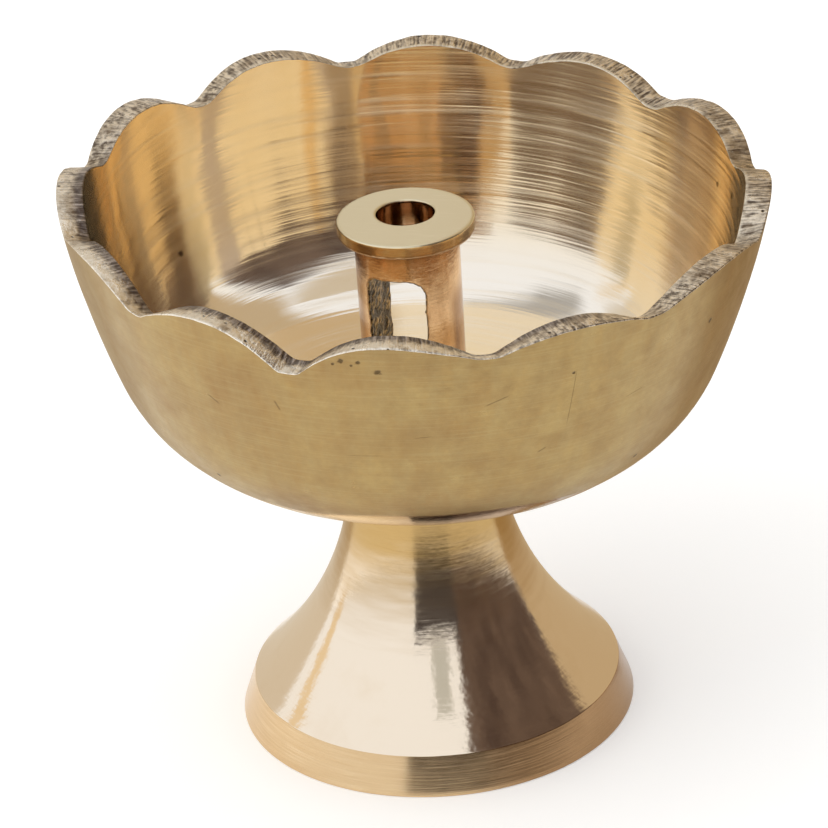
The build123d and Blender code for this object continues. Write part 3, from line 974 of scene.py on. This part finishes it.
# Painted reflections: dark stripes on the sleeve's right side, fading out lower down, and on its left side,
# both stopping under the flange.
sideways = calc_vector("DOT_PRODUCT", point, HOLDER_RIGHT)
flank = times(fade(sideways, *REFLECTION_RIGHT), fade(parts[2], *REFLECTION_FADE))
flank = calc("MAXIMUM", flank, fade(sideways, *REFLECTION_LEFT))
flank = times(flank, fade(parts[2], *REFLECTION_TOP))
# Painted shade on the back half of the sleeve, below the flange.
darker_side = times(fade(parts[1], *SHADE_BACK), fade(parts[2], *SHADE_TOP))
brim = times(fade(parts[2], *BRIM_HEIGHT), fade(away, *BRIM_REACH))
# Painted shade in the fillet under the flange.
shade_under_flange = times(fade(parts[2], *CREASE_TOP), fade(parts[2], *CREASE_BOTTOM))
satin = mix_colors(strokes, (0.78, 0.71, 0.52), (0.86, 0.79, 0.61))
satin = layered(satin, (patches, 0.3, (0.74, 0.66, 0.47)))
rough_skin = mix_colors(fade(sand, 0.35, 0.95), (0.05, 0.032, 0.015), (0.56, 0.38, 0.16))
color = mix_colors(patches, (0.76, 0.47, 0.24), (0.92, 0.64, 0.37))
color = layered(
    color,
    (fade(runs, 0.45, 1.0), 0.5, (0.56, 0.32, 0.15)),
    (flank, 0.65, (0.28, 0.14, 0.065)),
    (darker_side, 0.75, (0.20, 0.11, 0.05)),
    (bored, 0.7, (0.42, 0.26, 0.17)),
    (brim, 1.0, (0.78, 0.64, 0.42)),
    (shade_under_flange, 0.7, (0.36, 0.20, 0.085)),
    (faced, 1.0, satin),
    (as_cast, 1.0, rough_skin),
)
gloss = blend_values(faced, calc("MULTIPLY_ADD", fine, 0.10, 0.10), 0.36)
dress(shader, color, blend_values(as_cast, gloss, 0.34))
lumps = times(patches, 0.22)
height = calc("MULTIPLY_ADD", minus(1.0, bored), lumps, times(fine, 0.06))
height = blend_values(as_cast, blend_values(faced, height, 0.0), sand)
relief(shader, height, 0.16)

inputs = {
    "Bottom": HOLDER_BOTTOM,
    "Top": HOLDER_TOP,
    "Bore": BORE_RADIUS,
    "Bore Aside": CORE_ASIDE,
    "Bore Back": CORE_BACK,
    "Cast Aside": -0.25,
    "Cast Back": -0.1,
    "Thread Hole": THREAD_HOLE,
    "Collar Radius": COLLAR_RADIUS,
    "Foot Radius": SLEEVE_FOOT,
    "Flange Radius": FLANGE_RADIUS,
    "Flange Thickness": FLANGE_THICKNESS,
    "Flange Fillet": 0.8,
    "Window Half Width": WINDOW_HALF,
    "Window Bottom": WINDOW_BOTTOM,
    "Window Top": WINDOW_TOP,
    "Window Corner": WINDOW_CORNER * 0.8,
    "Right Corner": WINDOW_CORNER * 1.4,
    "Window Shift": CORE_ASIDE,
    "Edge Round": 0.25,
    "Casting Lumps": 0.5,
    "Reach": 7.6,
    "Cells Across": 97,
    "Cells Up": 151,
    "Finish": holder_brass,
}
tree, given = shape_tree("cast_wick_holder", inputs)


def window_gap(place):
    """How far a point is outside the window's rounded opening, with the casting's lumps."""
    parts = split(place)
    middle = times(calc("ADD", given["Window Bottom"], given["Window Top"]), 0.5)
    tall = minus(given["Window Top"], middle)
    aside = minus(parts[0], given["Window Shift"])
    on_right = calc("GREATER_THAN", aside, 0.0)
    corner = blend_values(on_right, given["Window Corner"], given["Right Corner"])
    over_x = minus(calc("ABSOLUTE", aside), given["Window Half Width"])
    over_z = minus(calc("ABSOLUTE", minus(parts[2], middle)), tall)
    over_x = calc("ADD", over_x, corner)
    over_z = calc("ADD", over_z, corner)
    outer = join(calc("MAXIMUM", over_x, 0.0), calc("MAXIMUM", over_z, 0.0))
    outer = calc_vector("LENGTH", outer)
    inner = calc("MINIMUM", calc("MAXIMUM", over_x, over_z), 0.0)
    gap = minus(calc("ADD", outer, inner), corner)
    small = times(noise(place, size=0.6, seed=9.2), 0.5)
    lumps = calc("ADD", noise(place, size=1.7, seed=4.4), small)
    return calc("MULTIPLY_ADD", lumps, given["Casting Lumps"], gap)


place = place_of(tree)
parts = split(place)
flat = join(parts[0], parts[1])
from_axis = calc_vector("LENGTH", flat)
radius = calc_vector("DISTANCE", flat, join(given["Cast Aside"], given["Cast Back"]))
above = minus(parts[2], given["Bottom"])
climb = calc("DIVIDE", above, minus(given["Top"], given["Bottom"]))
girth = blend_values(climb, given["Foot Radius"], given["Collar Radius"])
half_flange = times(given["Flange Thickness"], 0.5)
flange_middle = minus(given["Top"], half_flange)
level = minus(parts[2], flange_middle)
sleeve = calc("MAXIMUM", minus(radius, girth), level)
sleeve = calc("SMOOTH_MAX", sleeve, times(above, -1), given["Edge Round"])
level = calc("ABSOLUTE", level)
flange = calc("SMOOTH_MAX", minus(radius, given["Flange Radius"]),
              minus(level, half_flange), given["Edge Round"])
body = calc("SMOOTH_MIN", sleeve, flange, given["Flange Fillet"])
in_plinth = calc("LESS_THAN", parts[2], given["Window Bottom"])
from_core = join(
    minus(parts[0], given["Bore Aside"]),
    minus(parts[1], given["Bore Back"]),
)
bored = minus(given["Bore"], calc_vector("LENGTH", from_core))
tapped = minus(given["Thread Hole"], from_axis)
hole = blend_values(in_plinth, bored, tapped)
body = calc("SMOOTH_MAX", body, hole, given["Edge Round"])
body = calc("SMOOTH_MAX", body, times(window_gap(place), -1), given["Edge Round"])
back = times(given["Reach"], -1)
feeds = {
    "Density": times(body, -1),
    "Background": -1.0,
    "Min": join(back, back, minus(given["Bottom"], CELLS_BEYOND)),
    "Max": join(given["Reach"], given["Reach"], calc("ADD", given["Top"], CELLS_BEYOND)),
    "Resolution X": given["Cells Across"],
    "Resolution Y": given["Cells Across"],
    "Resolution Z": given["Cells Up"],
}
cast = linked("GeometryNodeVolumeCube", feeds).outputs[0]
mesh = linked("GeometryNodeVolumeToMesh", {"Volume": cast, "Threshold": 0.0}).outputs[0]
gap = calc("ABSOLUTE", window_gap(place_of(tree)))
mesh = store(mesh, "as_cast", fade(gap, 0.30, 0.06))
mesh = linked("GeometryNodeTransform", {"Geometry": mesh, "Scale": (MM, MM, MM)}).outputs[0]
close_tree(coat(mesh, [given["Finish"]]))

blank = in_scene("wick_holder_cast", bpy.data.meshes.new("wick_holder_cast"))
holder = made_by(tree, blank, inputs)
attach(holder, "holder")
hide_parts("wick_holder")

# Studio: a pale table under even white light, with one soft lamp at the left of the
# camera. Dark and tan cards, which glow with their own colour, stand round it; only the polished brass
# shows them.
table_finish, tree, shader = new_finish("table_white", (0.96, 0.96, 0.955), 0.7, 0.0)
rays = add(tree, "ShaderNodeLightPath").outputs
seen = calc("MAXIMUM", rays["Is Glossy Ray"], rays["Is Transmission Ray"])
seen = calc("MAXIMUM", rays["Is Camera Ray"], seen)
shader.inputs["Emission Color"].default_value = (1, 1, 1, 1)
feed(shader.inputs["Emission Strength"], times(seen, 0.16))
mesh = bpy.data.meshes.new("table")
mesh.from_pydata([(-3, -3, 0), (3, -3, 0), (3, 3, 0), (-3, 3, 0)], [], [(0, 1, 2, 3)])
mesh.materials.append(table_finish)
table = in_scene("table", mesh)

CAMERA_TARGET = Vector((-0.57, -0.598, 34.076)) * MM
CAMERA_DISTANCE = 495.13 * MM
CAMERA_AZIMUTH = math.radians(14.80)
CAMERA_ELEVATION = math.radians(27.70)
CAMERA_ROLL = math.radians(-3.775)
CAMERA_LENS = 207.7
CARD_AIM = Vector((0, 0, 12 * MM))
CARD_LIFT = 0.3 * MM
CARD_STEPS = 32


def direction(azimuth, elevation):
    """Unit vector towards a place seen from the lamp; azimuth 0 is the camera's side, in degrees."""
    turn, rise = CAMERA_AZIMUTH + math.radians(azimuth), math.radians(elevation)
    return Vector((math.sin(turn) * math.cos(rise), -math.cos(turn) * math.cos(rise), math.sin(rise)))


def card(name, color, azimuths, elevations, distance, soft, stain=None):
    """A curved card that glows with its own colour and that only reflections see, plain or stained; it lies
    on the table where it is low.
    """
    finish, tree, shader = new_finish(name, (0, 0, 0), 1.0, 0.0)
    shader.inputs["Specular IOR Level"].default_value = 0.0
    stains = effect(mottle, Point=surface_mm(tree), Size=30.0, Seed=3.3, Contrast=2.4)
    feed(shader.inputs["Emission Color"], mix_colors(stains, color, stain or color))
    shader.inputs["Emission Strength"].default_value = 1.0
    cover = add(tree, "ShaderNodeAttribute", attribute_name="cover").outputs["Fac"]
    feed(shader.inputs["Alpha"], fade(cover, 0.0, 1.0))
    finish.cycles.emission_sampling = "NONE"
    (left, right), (low, high) = azimuths, elevations
    row = CARD_STEPS + 1
    points, covers, faces = [], [], []
    for j in range(row):
        elevation = low + (high - low) * j / CARD_STEPS
        for k in range(row):
            azimuth = left + (right - left) * k / CARD_STEPS
            toward = direction(azimuth, elevation)
            reach = distance
            if toward.z <= 0:
                reach = min(distance, (CARD_AIM.z - CARD_LIFT) / max(-toward.z, 0.001))
            points.append(CARD_AIM + toward * reach)
            sides = (azimuth - left, right - azimuth, elevation - low, high - elevation)
            covers.append(min(min(sides) / soft, 1.0))
    for j in range(CARD_STEPS):
        for k in range(CARD_STEPS):
            corner = j * row + k
            faces.append((corner, corner + 1, corner + row + 1, corner + row))
    mesh = bpy.data.meshes.new(name)
    mesh.from_pydata(points, [], faces)
    mesh.attributes.new("cover", "FLOAT", "POINT").data.foreach_set("value", covers)
    mesh.materials.append(finish)
    placed = in_scene(name, mesh)
    placed.visible_camera = False
    placed.visible_diffuse = False
    placed.visible_transmission = False
    placed.visible_shadow = False


card("dark_card_front", (0.065, 0.053, 0.05), (-21, 25), (-3, 25), 0.13, 3)
card("grey_card_front", (0.58, 0.58, 0.54), (-6, 13), (25, 51), 0.70, 4)
card("brown_card_right", (0.07, 0.045, 0.035), (17, 102), (-3, 66), 0.16, 6, (0.17, 0.115, 0.085))
card("tan_card_high", (0.66, 0.55, 0.40), (30, 125), (58, 86), 0.70, 6)
card("tan_card_right", (0.57, 0.43, 0.26), (97, 180), (-26, 62), 0.70, 5)
card("tan_card_left", (0.72, 0.63, 0.50), (-180, -116), (-26, 48), 0.70, 5)
card("orange_strip_left", (0.88, 0.70, 0.45), (-112, -102), (-2, 46), 0.70, 3)
card("grey_card_high", (0.42, 0.40, 0.37), (-176, -106), (52, 69), 0.70, 5)


def softbox(name, azimuth, elevation, distance, size, power):
    """One area lamp that faces the bowl and stays out of the picture."""
    lamp = bpy.data.lights.new(name, "AREA")
    lamp.shape = "RECTANGLE"
    lamp.size, lamp.size_y = size
    lamp.energy = power
    placed = in_scene(name, lamp)
    toward = direction(azimuth, elevation)
    placed.location = toward * distance + CAMERA_TARGET
    placed.rotation_euler = toward.to_track_quat("Z", "Y").to_euler()
    placed.visible_camera = False
    placed.visible_glossy = False


softbox("left_softbox", -60, 50, 0.65, (0.5, 0.5), 0.9)

world = bpy.data.worlds.new("studio")
bpy.context.scene.world = world
world.use_nodes = True
backdrop = world.node_tree.nodes["Background"]
backdrop.inputs["Color"].default_value = (1, 1, 1, 1)
backdrop.inputs["Strength"].default_value = 1.0

camera_data = bpy.data.cameras.new("photo_camera")
camera_data.sensor_width = 36.0
camera_data.lens = CAMERA_LENS
camera_data.clip_start = 0.01
camera = in_scene("photo_camera", camera_data)
back = direction(0, math.degrees(CAMERA_ELEVATION))
turn = back.to_track_quat("Z", "Y").to_matrix() @ Matrix.Rotation(CAMERA_ROLL, 3, "Z")
camera.matrix_world = Matrix.Translation(CAMERA_TARGET + back * CAMERA_DISTANCE) @ turn.to_4x4()
bpy.context.scene.camera = camera
bpy.context.scene.view_settings.view_transform = "Standard"
